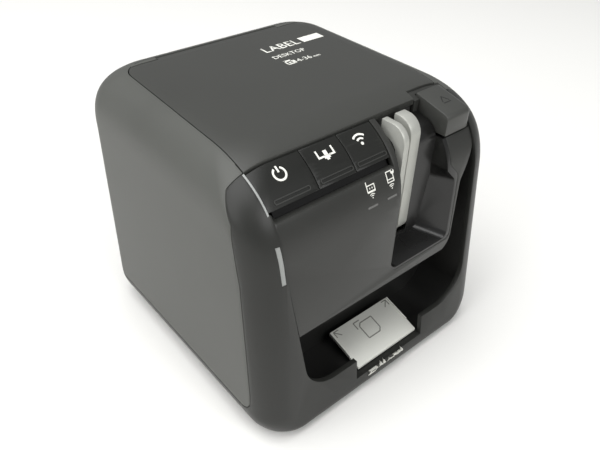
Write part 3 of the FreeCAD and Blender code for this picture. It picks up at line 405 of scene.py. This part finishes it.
# ------------------------------------------------------------------ underside
# Four cross-head screws hold the base cover on, and a blank foil plate is stuck between them.
base_face = 1.5
screw_steel = painted("screw_steel", (0.4, 0.4, 0.4), 0.35, 1.0)
head_radius, head_height, head_lift, cross_long, cross_wide = 2.8, 0.9, 0.15, 3.2, 0.6
for n, (across, y) in enumerate(((-29, -40), (29, -40), (-29, 51), (29, 51))):
    bpy.ops.object.select_all(action="DESELECT")
    bpy.ops.mesh.primitive_cylinder_add(vertices=32, radius=head_radius * MM, depth=head_height * MM,
                                        location=(across * MM, y * MM, (base_face + head_lift) * MM))
    head = bpy.context.object
    head.name = f"base_screw_{n}"
    bpy.ops.object.transform_apply(location=True, rotation=True, scale=True)
    rounding = head.modifiers.new("rounding", "BEVEL")
    rounding.width = 0.25 * MM
    rounding.segments = 2
    bpy.ops.object.modifier_apply(modifier="rounding")
    head.data.materials.append(screw_steel)
    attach(head, "case")
    # Painted shade: each cross slot is a near-black bar set into the steel head, standing for the shadow in
    # its recess.
    for part, (wide, deep) in enumerate(((cross_long, cross_wide), (cross_wide, cross_long))):
        brick(f"base_screw_{n}_slot_{part}", (across - wide / 2, y - deep / 2, base_face - 0.36),
              (across + wide / 2, y + deep / 2, base_face), dark_print_and_slot_shade, "case", soften=0.05)
foil = painted("foil", (0.5, 0.5, 0.5), 0.4, 0.6)
brick("blank_plate", (-22, -8, base_face - 0.12), (22, 18, base_face + 0.3), foil, "case",
      soften=0.05)

# ------------------------------------------------------------------ lid
# A single flat moulding in satin ABS that lifts on a steel pin at the back, with three stiffening ribs
# underneath. Plain words, a solid block and the tape widths are screen-printed in off-white.
lid_plastic = moulded_plastic("lid_plastic", (0.046, 0.047, 0.043), 0.42, shift=0.06, gloss=0.35)
lid_piece = moulding("top_lid", 0.25, lid_plastic)
lid_top = 133.0
printed("lid_title", [words("LABEL", (0, 0), 6, 0.05), bar((24.6, 3), (38, 3), 6)],
        (9.6, 35.2, lid_top), 0, lid_piece, print_white, "lid")
printed("lid_subtitle", [words("DESKTOP", (0, 0), 3.3)],
        (8.4, 26.6, lid_top), 0, lid_piece, print_white, "lid")
tape_sign = strokes((0, 0.4, 0, 4.6, 0.8), (-0.4, 4.2, 4.2, 4.2, 1.3), (3.8, 4.6, 3.8, 0.4, 0.8),
                    (4.2, 0.4, -0.4, 0.4, 0.8), (1.2, 2, 2.7, 2, 1), (4.8, 0.3, 4.8, 3.4, 0.7))
printed("lid_widths", tape_sign + [words("4-36", (6, 0.2), 3.5), words("mm", (15.6, 0.2), 2)],
        (10, 17.4, lid_top), 0, lid_piece, print_white, "lid")

rib_reach, rib_half, rib_foot, rib_head = 44, 0.7, 127.2, 130.7
for n, y in enumerate((-22, 4, 30)):
    brick(f"lid_rib_{n}", (-rib_reach, y - rib_half, rib_foot), (rib_reach, y + rib_half, rib_head),
          lid_plastic, "lid", soften=0.3)

# ------------------------------------------------------------------ panel
# The block that overhangs the tray: the same satin ABS as the frame, softly rolled under at its foot. Two
# small pictograms, one of a router and one of a tablet, stand over two narrow status windows.
panel_plastic = moulded_plastic("panel_plastic", (0.028, 0.0285, 0.026), 0.36, shift=0.08, gloss=0.35)
panel_piece = moulding("front_panel", 0.35, panel_plastic)
window_grey = painted("window_grey", (0.12, 0.12, 0.115), 0.25)


def radio_waves(centre, scale, width):
    """Two arcs over a dot: the common sign for a wireless link."""
    return [disc(centre, 0.36 * scale), arc(centre, 1.25 * scale, width, 45, 90),
            arc(centre, 2.2 * scale, width, 45, 90)]


router = strokes((0, 3.2, 0, 7.8, 0.45), (0, 3.3, 4.4, 3.3, 0.8), (4.1, 3.1, 4.1, 6.2, 0.45),
                 (0, 6, 4.3, 6, 0.45), (1.2, 4.7, 1.7, 4.7, 0.6), (2.5, 4.7, 3, 4.7, 0.6))
tablet = strokes((0.4, 3.2, 0.4, 8, 0.45), (4, 3.2, 4, 6.3, 0.45), (0.3, 7.9, 3.3, 7.9, 0.45),
                 (0.3, 3.3, 4.1, 3.3, 0.45), (0.4, 4.5, 4, 4.5, 0.4)) + [disc((4, 7.2), 1.05)]
for name, pictogram, left in (("router", router, -11.1), ("tablet", tablet, 0.3)):
    printed(name + "_sign", pictogram + radio_waves((2.2, 0.5), 0.8, 0.35), (left, -59.8, 106.6), 62,
            panel_piece, print_white, "case", cuts=1)
    printed(name + "_window", [bar((0, 0), (5.6, 0), 0.95)], (left - 1.2, -61, 103.6), 70, panel_piece,
            window_grey, "case", cuts=1)

# ------------------------------------------------------------------ keys
# Three caps of satin black ABS that follow the roll of the front edge. Each carries one off-white printed
# sign and a raised pill-shaped rib, above a deep black gap. The ribs are painted a lighter grey as a painted
# highlight.
key_plastic = moulded_plastic("key_plastic", (0.011, 0.0115, 0.01), 0.38, shift=0.06, gloss=0.35)
key_pieces = {node: moulding(node, 0.3, key_plastic)
              for node in ("power_button", "feed_cut_button", "wireless_button")}
# Painted highlight: the ribs are the caps' own black plastic, given a lighter grey that stands in for the
# sheen along their edges.
rib_painted_highlight = painted("rib_painted_highlight", (0.035, 0.036, 0.033), 0.3)
KEY_LEAN, RIB_HALF, RIB_WIDTH = 36.5, 0.85, 0.4
power_sign = [arc((0, 0), 2.7, 0.85, 120, 300), bar((0, 0.6), (0, 3.4), 0.85)]
cut_sign = strokes((-4, 2.6, -4, -0.4, 0.8), (-4.4, -0.8, -1.2, -0.8, 0.8), (4, 2.6, 4, -0.4, 0.8),
                   (4.4, -0.8, 1.2, -0.8, 0.8), (-0.9, 0.6, 0.9, 0.6, 2.2), (0, -0.6, 0, -1.2, 4.4),
                   (0, -1.2, 0, -1.9, 3), (0, -1.9, 0, -2.6, 1.4))
wireless_sign = [disc((0, -2), 0.72), arc((0, -2), 2.35, 0.85, 45, 90), arc((0, -2), 4.3, 0.9, 45, 90)]
for node, sign, middle, rib in (("power_button", power_sign, -45.8, (-53, 15.4)),
                                ("feed_cut_button", cut_sign, -22.6, (-30.2, 15.2)),
                                ("wireless_button", wireless_sign, -3.9, (-10.4, 14.4))):
    body = BODY_OF[node]
    printed(node + "_sign", sign, (middle, -45, 126.2), KEY_LEAN, key_pieces[node], print_white,
            body, cuts=1)
    left, length = rib
    pill = [bar((0, RIB_HALF), (length, RIB_HALF), RIB_WIDTH),
            bar((0, -RIB_HALF), (length, -RIB_HALF), RIB_WIDTH),
            arc((length, 0), RIB_HALF, RIB_WIDTH, -90, 180), arc((0, 0), RIB_HALF, RIB_WIDTH, 90, 180)]
    printed(node + "_rib", pill, (left, -52.4, 120.2), 50, key_pieces[node], rib_painted_highlight, body,
            proud=0.3, cuts=2)

# ------------------------------------------------------------------ open button
# The solid cap at the right corner that releases the lid: satin black ABS.
# It is marked with an arrow that points to the lid.
open_plastic = moulded_plastic("open_plastic", (0.042, 0.043, 0.039), 0.4, shift=0.08)
open_piece = moulding("open_button", 0.45, open_plastic)
engraved_dark = painted("engraved_dark", (0.008, 0.008, 0.0075), 0.6)
open_sign = strokes((-2.2, -1.2, 0, 2.2, 0.45), (0, 2.2, 2.2, -1.2, 0.45), (-2.4, -2, 2.4, -2, 0.45))
printed("open_arrow", open_sign,
        (47.4, -46, 128.8), 13, open_piece, engraved_dark, "open_key")

# ------------------------------------------------------------------ tape exit
# The niche is gloss black ABS, with drafted sides, clipped into the panel. Two bright metallised blades with
# rounded heads guide the label out of it. The bezel under the keys is painted near-black as painted shade
# for the gap.
niche_plastic = moulded_plastic("niche_plastic", (0.008, 0.008, 0.0075), 0.28, depth=0.00001, shift=0.05)
moulding("exit_niche", 0.4, niche_plastic)
# Painted shade: the bezel gets a near-black matte finish that stands for the deep shadow in the gap under
# the keys.
painted_gap_shade = painted("painted_gap_shade", (0.003, 0.003, 0.003), 0.8)
moulding("key_bezel", 0, painted_gap_shade)
silver_plastic = moulded_plastic("silver_plastic", (0.44, 0.445, 0.41), 0.42, depth=0.000005, shift=0.04,
                                 metallic=0.35)
for node in ("exit_guide_left", "exit_guide_right"):
    moulding(node, 0.5, silver_plastic)

# ------------------------------------------------------------------ light strips
# Two frosted acrylic light guides, pressed into slots in the frame beside the keys and the panel.
# They are flush with the frame's skin.
frosted = painted("frosted", (0.3, 0.31, 0.3), 0.3)
for node in ("light_strip_upper", "light_strip_lower"):
    moulding(node, 0.15, frosted)

# ------------------------------------------------------------------ tray and its recess
# The recess is a deep black tub. The tray that catches cut labels is silver-painted ABS and slopes to the
# front. It has a picture of a label, two corner arrows and a thin turned-up rim on each side.
tub_plastic = moulded_plastic("tub_plastic", (0.016, 0.016, 0.015), 0.34, shift=0.05)
moulding("recess_tub", 0, tub_plastic)
tray_paint = moulded_plastic("tray_paint", (0.74, 0.745, 0.69), 0.42, depth=0.000005, shift=0.03,
                             metallic=0.1)
tray_piece = moulding("tape_tray", 0.2, tray_paint)
tray_line = painted("tray_line", (0.22, 0.22, 0.2), 0.45)
tray_low, tray_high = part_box("tape_tray")
tray_middle = (tray_low.x + tray_high.x) / 2 / MM
FOLD_Y, FOLD_Z, BACK_Y, BACK_Z = -62.5, 15.3, -47, 19.5
tray_slope = math.atan2(BACK_Z - FOLD_Z, BACK_Y - FOLD_Y)


def on_tray(across, y):
    """A place on the tray's sloping face."""
    return across, y, FOLD_Z + (y - FOLD_Y) * math.tan(tray_slope)


label_sign = strokes((-4.6, 3.2, -4.6, -4.4, 0.6), (-3, 4.8, 4.8, 4.8, 0.6), (4.8, 4.8, 4.8, -2.6, 0.6),
                     (4.8, -2.6, 3, -4.4, 0.6), (3, -4.4, -4.6, -4.4, 0.6), (-4.6, 3.2, -3, 4.8, 0.6),
                     (-6.4, 2.4, -6.4, 6.4, 0.6), (-6.4, 6.4, -2.4, 6.4, 0.6))
printed("tray_label_sign", label_sign, on_tray(tray_middle, -55.6), math.degrees(tray_slope), tray_piece,
        tray_line, "tray", proud=0.08)
for side, turn in ((-1, 90), (1, 0)):
    corner_arrow = strokes((-1.6, 1.6, 1.6, 1.6, 0.5), (1.6, 1.6, 1.6, -1.6, 0.5),
                           (1.6, 1.6, -1.6, -1.6, 0.5))
    printed(f"tray_arrow_{turn}", corner_arrow, on_tray(tray_middle + side * 17.2, -49.6), 0, tray_piece,
            tray_line, "tray", proud=0.08, turn=turn)
    edge = (tray_low.x if side < 0 else tray_high.x) / MM - side * 0.35
    middle = Vector(on_tray(edge, (FOLD_Y + BACK_Y) / 2)) + Vector((0, 0, 0.2))
    half = Vector((0.35, (BACK_Y - FOLD_Y) / 2, 0.3))
    brick(f"tray_rim_{turn}", middle - half, middle + half, tray_paint, "tray",
          lean=tray_slope)

# ------------------------------------------------------------------ cartridge bay and what works in it
# Black ABS bay with the tape and ribbon posts, which have splines. The roller is moulded rubber on a steel
# shaft, the head a glazed ceramic strip on a finned block, and the blades are ground steel.
bay_plastic = moulded_plastic("bay_plastic", (0.03, 0.03, 0.029), 0.5)
steel = painted("steel", (0.55, 0.55, 0.54), 0.3, 1.0)
rubber = moulded_plastic("rubber", (0.02, 0.02, 0.02), 0.8, depth=0.00003)
acetal = painted("acetal", (0.75, 0.74, 0.68), 0.4)
FINISHES = {
    bay_plastic: "cartridge_bay tape_core_post ribbon_spindle tray_runners battery_box dc_socket"
                 " tact_switches board_chips",
    steel: "platen_shaft motor_shaft head_pivot head_lever cutter_screw battery_cover_pin case_screws"
           " lid_hinge_pin fixed_blade moving_blade"
           " drive_motor battery_contacts usb_socket network_socket head_heatsink",
    rubber: "platen_roller rubber_feet",
    acetal: "platen_gear ribbon_gear blade_carrier print_head",
    painted("solder_mask", (0.02, 0.16, 0.06), 0.35): "main_board key_board wireless_module",
    painted("brass", (0.7, 0.5, 0.2), 0.3, 1.0): "motor_pinion",
}
for material, nodes in FINISHES.items():
    for node in nodes.split():
        dressed(node, material)

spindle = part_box("ribbon_spindle")
spindle_x, spindle_y = ((spindle[0] + spindle[1]) / 2 / MM)[:2]
spline_half, spline_foot, spline_head = 0.5, 74, 99.4
for node, x, y, radius, count in (("ribbon_spindle", spindle_x, spindle_y, 4, 6),
                                  ("tape_core_post", -18, 22, 9, 4)):
    for n in range(count):
        turn = math.tau * n / count
        across, along = x + radius * math.cos(turn), y + radius * math.sin(turn)
        brick(f"{node}_rib_{n}", (across - spline_half, along - spline_half, spline_foot),
              (across + spline_half, along + spline_half, spline_head), bay_plastic,
              BODY_OF[node], soften=0.2)
